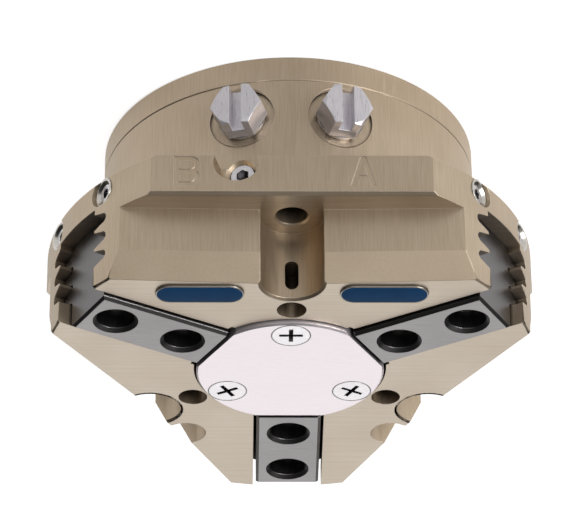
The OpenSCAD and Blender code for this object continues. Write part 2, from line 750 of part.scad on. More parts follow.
module jaw(angle) {
    body_in_z0 = lip_out(jaw_z) + hook_gap;
    body_in_z1 = lip_out(hook_top_z) + hook_gap;
    color([0.42, 0.42, 0.44]) rotate([0, 0, angle]) difference() {
        union() {
            intersection() {
                union() {
                    radial_bar(jaw_teeth_r, jaw_out_r)
                        toothed_outline(jaw_half, tooth_mouth - 2 * guide_gap, tooth_root - 2 * guide_gap,
                            tooth_depth, jaw_z, jaw_top_z, jaw_edge);
                    radial_bar(0, jaw_teeth_r + cut) polygon([
                        [-jaw_half, jaw_z], [jaw_half, jaw_z], [jaw_half, jaw_top_z - jaw_edge],
                        [jaw_half - jaw_edge, jaw_top_z], [-jaw_half + jaw_edge, jaw_top_z],
                        [-jaw_half, jaw_top_z - jaw_edge]]);
                }
                side_plate(2 * (guide_w + tooth_depth)) polygon([
                    [body_in_z0, jaw_z], [jaw_out_r, jaw_z], [jaw_out_r, jaw_top_z - jaw_edge],
                    [jaw_out_r - jaw_edge, jaw_top_z], [jaw_in_r, jaw_top_z], [jaw_in_r, jaw_shelf_z],
                    [body_in_z1, jaw_shelf_z], [body_in_z1, hook_top_z]]);
            }
            hook_band(hook_w, 0, hook_t, jaw_z, hook_top_z);
            hook_band(neck_w, hook_t / 2, hook_t + lip_t + 2 * hook_gap, jaw_z, hook_top_z);
        }
        finger_holes();
    }
}

// ---------------------------------------------------------------- centre plate

module centre_plate() {
    edge = 0.4;
    color([0.9, 0.9, 0.91]) difference() {
        rotate_extrude() polygon([
            [0, plate_z], [plate_r, plate_z], [plate_r, plate_top_z - edge],
            [plate_r - edge, plate_top_z], [0, plate_top_z]]);
        around(jaw_angles) {
            translate([plate_flat_r, -plate_r, plate_z - cut]) cube([plate_r, plate_d, plate_h + 2 * cut]);
            translate([0, -arm_w / 2 - arm_gap, plate_z - cut])
                cube([lip_out(plate_z - piston_stroke) + free_gap, arm_w + 2 * arm_gap,
                    wedge_pocket_z - plate_z + cut]);
        }
        around(flank_angles) translate([plate_screw_r, 0, 0]) {
            translate([0, 0, plate_z - cut])
                cylinder(d = plate_screw_d + 2 * fit_gap, h = plate_h + 2 * cut);
            translate([0, 0, plate_top_z - plate_screw_d / 2 * head_cone - fit_gap])
                cylinder(d1 = plate_screw_d + 2 * fit_gap, d2 = plate_screw_d * 2 + 2 * fit_gap,
                    h = plate_screw_d / 2 * head_cone + fit_gap + skin);
        }
    }
}

module plate_screws() {
    color("gainsboro") around(flank_angles) translate([plate_screw_r, 0, plate_top_z])
        difference() {
            translate([0, 0, -plate_screw_d / 2 * head_cone]) countersunk(plate_screw_d, plate_screw_len);
            cross_recess(plate_screw_d);
        }
}

// ---------------------------------------------------------------- ports and small screws

module port_plugs() {
    color([0.85, 0.85, 0.87]) around(port_angles) translate([0, 0, port_z]) difference() {
        union() {
            intersection() {
                translate([plug_seat_r, 0, 0]) rotate([0, 90, 0]) rotate([0, 0, 90])
                    cylinder(d = plug_flats / cos(30), h = plug_head_h, $fn = 6);
                radial_cone(plug_flats + 2 * (plug_head_edge + plug_head_h) * plug_cone,
                    plug_flats, plug_seat_r - plug_head_edge, plug_seat_r + plug_head_h);
            }
            radial_rod(port_thread_d, plug_seat_r - port_len, plug_seat_r + cut);
        }
        translate([plug_seat_r + plug_head_h - plug_slot_depth, -plug_slot_w / 2, -plug_flats])
            cube([plug_slot_depth + cut, plug_slot_w, 2 * plug_flats]);
    }
}

module plug_washers() {
    color("gray") around(port_angles) translate([0, 0, port_z]) difference() {
        radial_rod(washer_d, port_floor_r, plug_seat_r);
        radial_rod(port_thread_d + 2 * fit_gap, port_floor_r - cut, plug_seat_r + cut);
    }
}

module throttle_screw() {
    color("silver") rotate([0, 0, port_angles[1]]) translate([0, 0, throttle_z])
        set_screw(throttle_d, gallery_r + land, throttle_floor_r - set_screw_drop);
}

module lobe_bushes() {
    color("silver") around(jaw_angles) for (s = [-1, 1])
        translate([0, s * lobe_screw_side, lobe_screw_z]) difference() {
            radial_rod(bush_d, lobe_face_r - bush_len - set_screw_drop, lobe_face_r - set_screw_drop);
            radial_rod(lobe_screw_d + 2 * fit_gap, 0, head_r);
            radial_cone(lobe_screw_d, lobe_screw_d + 2 * (bush_edge + cut),
                lobe_face_r - set_screw_drop - bush_edge, lobe_face_r - set_screw_drop + cut);
        }
}

module lobe_screws() {
    color("dimgray") around(jaw_angles) for (s = [-1, 1])
        translate([0, s * lobe_screw_side, lobe_screw_z])
            set_screw(lobe_screw_d, lobe_face_r - 2 * bush_len + cut, lobe_face_r - 2 * set_screw_drop);
}

// ---------------------------------------------------------------- name plates

module badge_plates() {
    x = bevel_r - badge_inset - badge_w / 2;
    color([0.06, 0.24, 0.44]) rotate([0, 0, front]) for (s = [-1, 1])
        translate([x, s * badge_side, head_z]) {
            for (e = [-1, 1]) translate([0, e * (badge_len - badge_w) / 2, 0])
                cylinder(d = badge_w, h = badge_h);
            translate([-badge_w / 2, -(badge_len - badge_w) / 2, 0])
                cube([badge_w, badge_len - badge_w, badge_h]);
        }
}

housing();
end_cover();
cover_seal();
cover_screws();
base_plugs();
piston();
piston_seal();
piston_screw();
rod_o_ring();
wedge_hook();
rod_seal();
jaw(jaw_angles[0]);  // jaw_1
jaw(jaw_angles[1]);  // jaw_2
jaw(jaw_angles[2]);  // jaw_3
centre_plate();
plate_screws();
port_plugs();
plug_washers();
throttle_screw();
lobe_bushes();
lobe_screws();
badge_plates();
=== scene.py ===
"""Finishes, fuller forms, light, floor and camera for the three-jaw centric gripper."""

import math

import bmesh
import bpy
import numpy as np
from mathutils import Matrix, Vector


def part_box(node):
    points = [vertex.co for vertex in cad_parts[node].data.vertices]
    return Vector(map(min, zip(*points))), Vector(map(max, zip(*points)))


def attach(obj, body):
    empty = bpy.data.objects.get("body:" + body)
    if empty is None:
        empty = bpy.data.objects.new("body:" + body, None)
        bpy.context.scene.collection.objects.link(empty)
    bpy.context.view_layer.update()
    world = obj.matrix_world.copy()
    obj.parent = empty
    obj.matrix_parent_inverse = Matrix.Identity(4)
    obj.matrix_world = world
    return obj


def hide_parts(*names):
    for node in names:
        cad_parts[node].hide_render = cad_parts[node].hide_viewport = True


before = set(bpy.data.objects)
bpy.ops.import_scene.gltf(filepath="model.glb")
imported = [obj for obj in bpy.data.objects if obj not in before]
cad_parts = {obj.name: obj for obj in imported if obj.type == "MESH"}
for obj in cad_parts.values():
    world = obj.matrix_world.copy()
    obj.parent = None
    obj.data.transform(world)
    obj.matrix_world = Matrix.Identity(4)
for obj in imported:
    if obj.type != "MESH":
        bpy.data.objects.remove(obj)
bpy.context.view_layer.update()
MM = 0.001


# ---------------------------------------------------------------- camera

# The gripper is looked at from the side of its two air ports, from above the jaws, and upside down.
SIGHT = Vector((-0.75, 0.0, 24.95)) * MM
TURN, RISE, ROLL = math.radians(1.12), math.radians(32.18), math.radians(-0.51)
DISTANCE = 804.83 * MM
LENS, FILM = 227.92, 36.0


def make_camera():
    """Camera on a sphere round SIGHT, with right and up axes reversed, which hangs the gripper jaws down."""
    back = Vector((math.sin(TURN) * math.cos(RISE), -math.cos(TURN) * math.cos(RISE), math.sin(RISE)))
    right = Vector((math.cos(TURN), math.sin(TURN), 0.0))
    up = back.cross(right)
    side = -(right * math.cos(ROLL) + up * math.sin(ROLL))
    head = -(up * math.cos(ROLL) - right * math.sin(ROLL))
    data = bpy.data.cameras.new("view")
    data.lens, data.sensor_width = LENS, FILM
    data.clip_start, data.clip_end = 0.05, 20.0
    camera = bpy.data.objects.new("view", data)
    bpy.context.scene.collection.objects.link(camera)
    place = Matrix((side, head, back)).transposed().to_4x4()
    place.translation = SIGHT + back * DISTANCE
    camera.matrix_world = place
    bpy.context.scene.camera = camera


# ---------------------------------------------------------------- node helpers

def linear(code):
    """sRGB hex to linear RGBA: c / 12.92 up to 0.04045, and ((c + 0.055) / 1.055) ** 2.4 above."""
    parts = [int(code[i:i + 2], 16) / 255 for i in (0, 2, 4)]
    return [c / 12.92 if c <= 0.04045 else ((c + 0.055) / 1.055) ** 2.4 for c in parts] + [1.0]


def put(tree, kind, inputs={}, **settings):
    """Adds a node, sets its properties, and fills its inputs: a socket is linked, anything else is a value."""
    node = tree.nodes.new("ShaderNode" + kind)
    for name, value in settings.items():
        setattr(node, name, value)
    for key, value in inputs.items():
        if isinstance(value, bpy.types.NodeSocket):
            tree.links.new(value, node.inputs[key])
        else:
            node.inputs[key].default_value = value
    return node


def blank(name):
    """A new material with an empty tree and a Principled shader wired to its output."""
    material = bpy.data.materials.new(name)
    material.use_nodes = True
    tree = material.node_tree
    tree.nodes.clear()
    shader = put(tree, "BsdfPrincipled")
    put(tree, "OutputMaterial", {"Surface": shader.outputs[0]})
    return material, tree, shader


def finish_metal(name, dark, light, edge, rough, line, length, level_line=None, level_length=None,
                 level_dark=None, level_light=None, metallic=1.0, spread=0.06, relief=0.006, edge_mm=0.18,
                 contrast=1.0, turned=False, deep=None, deep_mm=4.0, deep_from=0.42, deep_to=0.16):
    """Metal with tool lines: along Z on upright faces, along X on level faces, and none on slants.

    dark and light are the two ends of the tone across the lines, edge is the tone of the broken edges, partly
    wear and partly a painted highlight, and level_dark and level_light are the two ends on level faces, where
    they differ.
    line and length are a line's width and length in mm. The lines also move the roughness by spread
    and lift the surface by relief, in mm. turned draws the level lines as rings round the Z axis.
    deep is painted shade: the tone that bores, slots and gaps take where little light reaches them. It starts
    where less than the share deep_from of the half space within deep_mm is open, and is full at deep_to.
    """
    material, tree, shader = blank(name)
    level_line, level_length = level_line or line, level_length or length
    place = put(tree, "TexCoord").outputs["Object"]
    normal = put(tree, "NewGeometry").outputs["Normal"]
    slope = put(tree, "SeparateXYZ", {0: normal}).outputs[2]
    slope = put(tree, "Math", {0: slope}, operation="ABSOLUTE").outputs[0]
    level = put(tree, "MapRange", {0: slope, 1: 0.80, 2: 0.95}).outputs[0]
    steep = put(tree, "MapRange", {0: slope, 1: 0.30, 2: 0.10}).outputs[0]

    thin, long_ = 1 / (line * MM), 1 / (length * MM)
    upright = put(tree, "VectorMath", {0: place, 1: (thin, thin, long_)}, operation="MULTIPLY")
    upright = put(tree, "TexNoise", {"Vector": upright.outputs[0], "Scale": 1.0, "Detail": 3.0,
                                     "Roughness": 0.6}).outputs[0]
    thin, long_ = 1 / (level_line * MM), 1 / (level_length * MM)
    if turned:
        reach = put(tree, "VectorMath", {0: put(tree, "VectorMath", {0: place, 1: (1, 1, 0)},
                                                operation="MULTIPLY").outputs[0]}, operation="LENGTH")
        across = put(tree, "CombineXYZ", {0: reach.outputs["Value"]}).outputs[0]
        flat = put(tree, "VectorMath", {0: across, 1: (thin, 1, 1)}, operation="MULTIPLY")
    else:
        flat = put(tree, "VectorMath", {0: place, 1: (long_, thin, thin)}, operation="MULTIPLY")
    flat = put(tree, "TexNoise", {"Vector": flat.outputs[0], "Scale": 1.0, "Detail": 3.0,
                                  "Roughness": 0.6}).outputs[0]
    grain = put(tree, "TexNoise", {"Vector": place, "Scale": 1 / (0.5 * MM), "Detail": 2.0}).outputs[0]
    calm = put(tree, "MapRange", {0: grain, 3: 0.35, 4: 0.65}).outputs[0]
    lines = put(tree, "Mix", {0: steep, 2: calm, 3: upright}, data_type="FLOAT").outputs[0]
    lines = put(tree, "Mix", {0: level, 2: lines, 3: flat}, data_type="FLOAT").outputs[0]

    # Slow drift of the tone over about 14 mm, so that no face is one flat colour.
    drift = put(tree, "TexNoise", {"Vector": place, "Scale": 1 / (14 * MM), "Detail": 2.0}).outputs[0]
    both = put(tree, "Math", {0: drift, 1: 0.45, 2: lines}, operation="MULTIPLY_ADD").outputs[0]
    low, high = 0.725 - 0.275 / contrast, 0.725 + 0.275 / contrast
    tone = put(tree, "MapRange", {0: both, 1: low, 2: high}).outputs[0]
    colour = put(tree, "Mix", {0: tone, 6: linear(dark), 7: linear(light)}, data_type="RGBA").outputs[2]
    if level_dark:
        flat = put(tree, "Mix", {0: tone, 6: linear(level_dark), 7: linear(level_light)}, data_type="RGBA")
        colour = put(tree, "Mix", {0: level, 6: colour, 7: flat.outputs[2]}, data_type="RGBA").outputs[2]

    # Broken edges: where the rounded normal leaves the true one, the colour turns lighter, partly as wear and
    # partly as a painted highlight.
    rounded = put(tree, "Bevel", {"Radius": edge_mm * MM}, samples=6).outputs[0]
    turn = put(tree, "VectorMath", {0: rounded, 1: normal}, operation="DOT_PRODUCT").outputs["Value"]
    edge_wear_and_highlight = put(tree, "MapRange", {0: turn, 1: 0.995, 2: 0.90}).outputs[0]
    colour = put(tree, "Mix", {0: edge_wear_and_highlight, 6: colour, 7: linear(edge)}, data_type="RGBA").outputs[2]

    # Painted shade: where the ambient occlusion finds little open space, the colour turns to the dark tone
    # deep.
    if deep:
        open_ = put(tree, "AmbientOcclusion", {"Distance": deep_mm * MM}, samples=8).outputs["AO"]
        depth = put(tree, "MapRange", {0: open_, 1: deep_from, 2: deep_to}).outputs[0]
        colour = put(tree, "Mix", {0: depth, 6: colour, 7: linear(deep)}, data_type="RGBA").outputs[2]

    gloss = put(tree, "MapRange", {0: lines, 1: 0.3, 2: 0.7, 3: rough - spread, 4: rough + spread}).outputs[0]
    bump = put(tree, "Bump", {"Strength": 0.35, "Distance": relief * MM, "Height": lines, "Normal": rounded})
    tree.links.new(colour, shader.inputs["Base Color"])
    tree.links.new(gloss, shader.inputs["Roughness"])
    tree.links.new(bump.outputs[0], shader.inputs["Normal"])
    shader.inputs["Metallic"].default_value = metallic
    return material


# ---------------------------------------------------------------- finishes

# Aluminium block, milled and hard anodised: champagne tan, satin, with fine tool lines, lighter edges that are
# partly a painted highlight, and painted shade in its bores, slots and gaps.
HOUSING = finish_metal("milled_hard_anodised_aluminium", "B8A58D", "CEBDA6", "E2D4C0", 0.42,
                       line=0.22, length=7, level_line=0.45, level_length=26,
                       level_dark="BFB19F", level_light="D6CABB", metallic=0.9, deep="17120C",
                       deep_mm=7.5, deep_from=0.40, deep_to=0.17)
# Guide jaws of alloy steel, ground and nitrided: slate grey with a faint violet cast, and painted shade in
# their bores and gaps.
JAWS = finish_metal("ground_nitrided_steel", "6B6868", "807E7E", "B9B6B6", 0.34, line=0.25, length=6,
                    level_dark="878384", level_light="A29F9F",
                    deep="0B0B0C", deep_from=0.44, deep_to=0.22)
# Wedge hook of hardened steel, ground: cool grey.
WEDGE = finish_metal("ground_hardened_steel", "8F8F92", "B0B0B3", "C4C4C8", 0.30, line=0.25, length=5)
# Piston of aluminium, turned: bright rings.
PISTON = finish_metal("turned_aluminium", "BDBDC0", "DADADD", "E8E8EA", 0.30, line=0.25, length=4,
                      turned=True)
# Zinc-plated screws: bright, slightly uneven, and with painted shade in the drive and round the head's rim.
ZINC = finish_metal("zinc_plated_steel", "C9C6CA", "EEEBEE", "FAFAFA", 0.28, line=0.5, length=1,
                    deep="0E0D0D", deep_mm=1.6, deep_from=0.72, deep_to=0.45)
# The same on the countersunk plate screws, with a lighter painted shade in the open cross than in a socket.
CROSS = finish_metal("zinc_plated_cross_recess_steel", "D6D2D5", "F6F2F4", "FFFFFF", 0.30, line=0.5, length=1,
                     deep="4A4644", deep_mm=1.6, deep_from=0.60, deep_to=0.25)
# Hexagon plugs, milled and nickel plated: silvery with a faint lilac cast and fine tool lines.
NICKEL = finish_metal("milled_nickel_plate", "CFCBD2", "EDE9EE", "FBF9FC", 0.32, line=0.2, length=3,
                      metallic=0.6)
# Turned bushes of bright steel, with painted shade inside.
BUSH = finish_metal("turned_bright_steel", "B9B4AC", "DDD9D2", "F2EFEA", 0.25, line=0.2, length=1,
                    deep="1E1913", deep_mm=1.6, deep_from=0.50, deep_to=0.25)
# Rims of the name plates: stamped aluminium, bright and slightly dulled.
RIM = finish_metal("stamped_aluminium_rim", "9A948A", "B8B2A8", "D0CCC4", 0.40, line=0.3, length=1)
# Black-oxide screws: dark and slightly oily.
BLACK = finish_metal("black_oxide_steel", "1B1B1D", "2A2A2D", "4A4A4E", 0.38, line=0.3, length=2)


SCREW_HEAD, SCREW_REACH = 8.0, 15.4    # countersunk heads in the plate: size and distance from the middle, mm


def tumbled_plate():
    """Bright aluminium plate, tumbled: near white and faintly rosy, with short fine scratches three ways.

    Each way is noise stretched 3.2 mm along its line and squeezed to 0.28 mm across, drawn as coarse as it
    needs to show, and the scratches are where one of the three is high.
    """
    material, tree, shader = blank("tumbled_bright_aluminium")
    place = put(tree, "TexCoord").outputs["Object"]
    marks = 0.0
    for turn in (25, 85, 150):
        way = put(tree, "Mapping", {"Vector": place, "Rotation": (0, 0, math.radians(turn)),
                                    "Scale": (1 / (3.2 * MM), 1 / (0.28 * MM), 1 / (0.28 * MM))}).outputs[0]
        field = put(tree, "TexNoise", {"Vector": way, "Scale": 1.0, "Detail": 2.0}).outputs[0]
        marks = put(tree, "Math", {0: field, 1: marks}, operation="MAXIMUM").outputs[0]
    marks = put(tree, "MapRange", {0: marks, 1: 0.52, 2: 0.74}).outputs[0]
    cloud = put(tree, "TexNoise", {"Vector": place, "Scale": 1 / (5 * MM), "Detail": 3.0}).outputs[0]
    both = put(tree, "Math", {0: cloud, 1: 0.5, 2: marks}, operation="MULTIPLY_ADD").outputs[0]
    tone = put(tree, "MapRange", {0: both, 1: 0.1, 2: 1.1}).outputs[0]
    colour = put(tree, "Mix", {0: tone, 6: linear("FBF0F4"), 7: linear("FFF8FA")},
                 data_type="RGBA").outputs[2]
    # Painted shade: the colour turns near black where little is open within 2 mm, in the screw recesses and the
    # gaps round the plate.
    open_ = put(tree, "AmbientOcclusion", {"Distance": 2.0 * MM}, samples=8).outputs["AO"]
    depth = put(tree, "MapRange", {0: open_, 1: 0.42, 2: 0.16}).outputs[0]
    colour = put(tree, "Mix", {0: depth, 6: colour, 7: linear("1C1A1A")}, data_type="RGBA").outputs[2]
    # Painted shade: a dark ring in the fine gap round each screw head, SCREW_HEAD across, at SCREW_REACH from
    # the middle.
    near = 1.0
    for angle in (270, 30, 150):
        seat = Vector((math.cos(math.radians(angle)), math.sin(math.radians(angle)), 0)) * SCREW_REACH * MM
        flat = put(tree, "VectorMath", {0: place, 1: (1, 1, 0)}, operation="MULTIPLY").outputs[0]
        reach = put(tree, "VectorMath", {0: flat, 1: tuple(seat)}, operation="DISTANCE").outputs["Value"]
        near = put(tree, "Math", {0: reach, 1: near}, operation="MINIMUM").outputs[0]
    off = put(tree, "Math", {0: near, 1: SCREW_HEAD / 2 * MM}, operation="SUBTRACT").outputs[0]
    painted_gap_shade = put(tree, "MapRange", {0: put(tree, "Math", {0: off}, operation="ABSOLUTE").outputs[0],
                                  1: 0.30 * MM, 2: 0.12 * MM}).outputs[0]
    colour = put(tree, "Mix", {0: painted_gap_shade, 6: colour, 7: linear("6E6A69")}, data_type="RGBA").outputs[2]
    gloss = put(tree, "MapRange", {0: marks, 3: 0.31, 4: 0.42}).outputs[0]
    rounded = put(tree, "Bevel", {"Radius": 0.15 * MM}, samples=6).outputs[0]
    bump = put(tree, "Bump", {"Strength": 0.25, "Distance": 0.004 * MM, "Height": marks, "Normal": rounded})
    tree.links.new(colour, shader.inputs["Base Color"])
    tree.links.new(gloss, shader.inputs["Roughness"])
    tree.links.new(bump.outputs[0], shader.inputs["Normal"])
    shader.inputs["Metallic"].default_value = 0.7
    return material


def rubber():
    """Nitrile seal: matt black with a fine moulded grain."""
    material, tree, shader = blank("moulded_nitrile_rubber")
    place = put(tree, "TexCoord").outputs["Object"]
    grain = put(tree, "TexNoise", {"Vector": place, "Scale": 1 / (0.3 * MM), "Detail": 2.0}).outputs[0]
    colour = put(tree, "Mix", {0: grain, 6: linear("141414"), 7: linear("262626")},
                 data_type="RGBA").outputs[2]
    tree.links.new(colour, shader.inputs["Base Color"])
    bump = put(tree, "Bump", {"Strength": 0.3, "Distance": 0.02 * MM, "Height": grain}).outputs[0]
    tree.links.new(bump, shader.inputs["Normal"])
    shader.inputs["Roughness"].default_value = 0.62
    return material


def enamel():
    """Blue enamelled name plate: an even deep blue, silky, with the faintest orange peel."""
    material, tree, shader = blank("blue_enamel_on_aluminium")
    place = put(tree, "TexCoord").outputs["Object"]
    drift = put(tree, "TexNoise", {"Vector": place, "Scale": 1 / (5 * MM), "Detail": 1.0}).outputs[0]
    colour = put(tree, "Mix", {0: drift, 6: linear("074676"), 7: linear("0A4F82")},
                 data_type="RGBA").outputs[2]
    peel = put(tree, "TexNoise", {"Vector": place, "Scale": 1 / (0.8 * MM), "Detail": 1.0}).outputs[0]
    bump = put(tree, "Bump", {"Strength": 0.2, "Distance": 0.01 * MM, "Height": peel}).outputs[0]
    tree.links.new(colour, shader.inputs["Base Color"])
    tree.links.new(bump, shader.inputs["Normal"])
    shader.inputs["Roughness"].default_value = 0.35
    shader.inputs["Specular IOR Level"].default_value = 0.03
    return material


PLATE, RUBBER, ENAMEL = tumbled_plate(), rubber(), enamel()
DRESS = {
    "housing": HOUSING, "end_cover": HOUSING, "cover_seal": RUBBER, "cover_screws": ZINC, "base_plugs": BLACK,
    "piston": PISTON, "piston_seal": RUBBER, "piston_screw": BLACK, "rod_o_ring": RUBBER, "wedge_hook": WEDGE,
    "rod_seal": RUBBER, "jaw_1": JAWS, "jaw_2": JAWS, "jaw_3": JAWS, "centre_plate": PLATE,
    "plate_screws": CROSS, "port_plugs": NICKEL, "plug_washers": ZINC, "throttle_screw": ZINC,
    "lobe_bushes": BUSH, "lobe_screws": ZINC, "badge_plates": ENAMEL,
}
for name, material in DRESS.items():
    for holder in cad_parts[name].material_slots:
        holder.material = material


# ---------------------------------------------------------------- fuller forms

# A closer fit of some sizes than the solids have, all in mm. LOBES and PORTS are directions, in degrees.
LOBES, PORTS = (90, 210, 330), (255, 285)
HEAD_MORE, DRUM_MORE, SEAM_UP = 0.8, 0.4, 0.5   # gain of the lobes' and the drum's radius, rise of the seam
DRUM_RADIUS, DRUM_INSIDE = 40.0, 38.2           # the drum's gain fades to nothing at the inner radius
HEAD_FOOT, LOBE_ARC = 27.3, 50.4                # underside of the head, least radius of its round faces
LOBE_TOP, LOBE_ROUND, EDGE_LESS = 51.9, 51.0, 0.6   # chamfer of the lobes' upper edge, and what it loses
RECESS_RADIUS = 20.5                            # round the centre plate
GUIDE_FLOOR, GUIDE_HALF, TOOTH = 33.85, 6.6, 3.5    # guide slots: floor, half width at the tips, tooth depth
TIP_OUT, ROOT_OUT = 1.05, 0.2                   # shift of a slot's tooth tips, and what its roots have more
SCREW_SIDE, SCREW_RISE, SCREW_OUT = 8.4, 30.4, 1.3  # axes of the lobe screws: side, height and shift
FADE_END, FLANK_START = 20.0, 13.5              # across a lobe: where the shifts end, where the corner begins
SPOT_RISE, SPOT_FLOOR, SPOT_WIDER = 14.8, 39.3, 14 / 13.3   # round faces at the ports
PLUG_SEAT, HEX_WIDER = 40.2, 9.6 / 9.1          # seat of a plug head, gain across its flats
HEX_MORE, SLOT_MORE, SLOT_WIDER = 1.9, 0.9, 1.04    # gain of its outer face and slot floor, and of the slot
SLOT_HALF = 1.25
JAW_MORE, JAW_LONGER, JAW_FLAT, JAW_END = 0.6, 0.5, 4.9, 47.5   # jaws: gain per side and at the end, from where


def turned_to(points, angle):
    """The points' parts along and across the direction at angle degrees, and their heights."""
    c, s = math.cos(math.radians(angle)), math.sin(math.radians(angle))
    return points[:, 0] * c + points[:, 1] * s, points[:, 1] * c - points[:, 0] * s, points[:, 2]


def turned_from(u, v, z, angle):
    """The reverse of turned_to."""
    c, s = math.cos(math.radians(angle)), math.sin(math.radians(angle))
    return np.stack([u * c - v * s, u * s + v * c, z], axis=1)


def ramp(value, start, width):
    """0 below start, 1 above start + width, and linear between."""
    return np.clip((value - start) / width, 0, 1)


def fuller_drum(points, seam_low, seam_high):
    """The drum's wall moves out by DRUM_MORE times the share of the way r has come from DRUM_INSIDE outwards.

    Points of the wall between the heights seam_low and seam_high rise with the seam. The round faces at the
    ports grow by SPOT_WIDER about their middles, and their floors keep their depth.
    """
    radius = np.hypot(points[:, 0], points[:, 1])
    drum = (points[:, 2] < HEAD_FOOT + 0.05) & (radius < DRUM_RADIUS + 1)
    gain = np.where(drum, DRUM_MORE * ramp(radius, DRUM_INSIDE, DRUM_RADIUS - DRUM_INSIDE), 0)
    growth = 1 + gain / np.maximum(radius, 1)
    moved = points * np.stack([growth, growth, np.ones_like(growth)], axis=1)
    seam = (radius > DRUM_RADIUS - 1) & (points[:, 2] > seam_low) & (points[:, 2] < seam_high)
    moved[:, 2] += np.where(seam, SEAM_UP, 0)
    for angle in PORTS:
        u, v, z = turned_to(points, angle)
        away = np.hypot(v, z - SPOT_RISE)
        spot = (u > 35) & (away > 6) & (away < 7.6)
        wide, high = v * SPOT_WIDER, SPOT_RISE + (z - SPOT_RISE) * SPOT_WIDER
        mouth = np.sqrt(np.maximum((radius + DRUM_MORE) ** 2 - wide ** 2, 1))
        there = turned_from(np.where(u < SPOT_FLOOR, u, mouth), wide, high, angle)
        moved = np.where(spot[:, None], there, moved)
    return moved


def fuller_housing(points):
    """The head's round lobe faces move out, the guide slots widen, and the lobe screws' bores move apart.

    With u along a lobe and v across it, a slot point moves across by TIP_OUT plus ROOT_OUT times its share
    of the way to the teeth's roots, and a bore point by SCREW_OUT. Up to FADE_END these shifts fade out.
    A point of the round face keeps its v near the slot and its distance to the flank at the corner, and is
    mixed in between. A point of the plate's recess stays on its circle, and the upper edge's chamfer
    shrinks by EDGE_LESS.
    """
    moved = fuller_drum(points, -1, 6.5)
    radius = np.hypot(points[:, 0], points[:, 1])
    for angle in LOBES:
        u, v, z = turned_to(points, angle)
        side, reach = np.sign(v), np.abs(v)
        lobe = (np.abs(np.arctan2(v, u)) < math.radians(30)) & (z > HEAD_FOOT - 0.1)
        rim = lobe & (radius > LOBE_ARC)
        above = z > GUIDE_FLOOR - 0.05
        slot = above & (u > 8) & (reach > 6) & (reach < 10.3)
        bore = (u > 38) & (np.hypot(reach - SCREW_SIDE, z - SCREW_RISE) < 3.4) & (z > HEAD_FOOT + 0.05)
        low = lobe & ~above & ((radius > 41.5) | bore)

        upper = (TIP_OUT + ROOT_OUT * ramp(reach, GUIDE_HALF, TOOTH)) * ramp(reach, 0, 6.5)
        upper = upper * ramp(FADE_END - reach, 0, 9.7)
        lower = SCREW_OUT * ramp(reach, 0, 4.9) * ramp(FADE_END - reach, 0, 8.1)
        across = reach + np.where(low, lower, np.where(slot | (rim & above), upper, 0))

        crest = rim & (z > LOBE_TOP)
        wide = radius + HEAD_MORE + np.where(crest & (radius < LOBE_ROUND), EDGE_LESS, 0)
        tall = z + np.where(crest & (radius > LOBE_ROUND), EDGE_LESS, 0)
        near = np.arcsin(np.clip(across / wide, -1, 1))
        flank = u * 0.5 + reach * math.sqrt(0.75)
        far = math.radians(60) - np.arccos(np.clip(flank / wide, -1, 1))
        mix = ramp(across, FLANK_START, 10.2)
        turn = near * (1 - mix) + far * mix
        on_rim = turned_from(wide * np.cos(turn), side * wide * np.sin(turn), tall, angle)

        ring = np.abs(radius - RECESS_RADIUS) < 0.1
        along = np.where(ring, np.sqrt(np.maximum(radius ** 2 - across ** 2, 0)), u)
        inner = turned_from(along, side * across, z, angle)
        moved = np.where(rim[:, None], on_rim, np.where((slot | low)[:, None], inner, moved))
    return moved


def wider_screws(points):
    """Lobe bushes and screws follow their bores, by SCREW_OUT across the lobe and HEAD_MORE along it."""
    moved = points.copy()
    for angle in LOBES:
        u, v, z = turned_to(points, angle)
        own = (u > 30) & (np.abs(v) < 13)
        there = turned_from(u + HEAD_MORE, v + np.sign(v) * SCREW_OUT, z, angle)
        moved = np.where(own[:, None], there, moved)
    return moved


def taller_plugs(points):
    """Plug heads grow by HEX_WIDER. Outer faces move out by HEX_MORE, and the slots' floors by SLOT_MORE."""
    moved = points.copy()
    for angle in PORTS:
        u, v, z = turned_to(points, angle)
        own = (np.abs(v) < 7) & (u > PLUG_SEAT - 0.05)
        slotted = np.abs(np.abs(v) - SLOT_HALF) < 0.02
        wide = v * np.where(slotted, SLOT_WIDER, HEX_WIDER)
        high = SPOT_RISE + (z - SPOT_RISE) * HEX_WIDER
        out = np.where(u > PLUG_SEAT + 2.5, HEX_MORE, np.where(u > PLUG_SEAT + 1, SLOT_MORE, 0))
        moved = np.where(own[:, None], turned_from(u + out, wide, high, angle), moved)
    return moved


def wider_jaw(points):
    """A jaw's sides and teeth, beyond v = JAW_FLAT, move out by JAW_MORE, and its end by JAW_LONGER."""
    moved = points.copy()
    for angle in LOBES:
        u, v, z = turned_to(points, angle)
        own = (u > 10) & (np.abs(v) < 12)
        across = v + np.sign(v) * JAW_MORE * ramp(np.abs(v), JAW_FLAT, 1)
        there = turned_from(u + np.where(u > JAW_END, JAW_LONGER, 0), across, z, angle)
        moved = np.where(own[:, None], there, moved)
    return moved


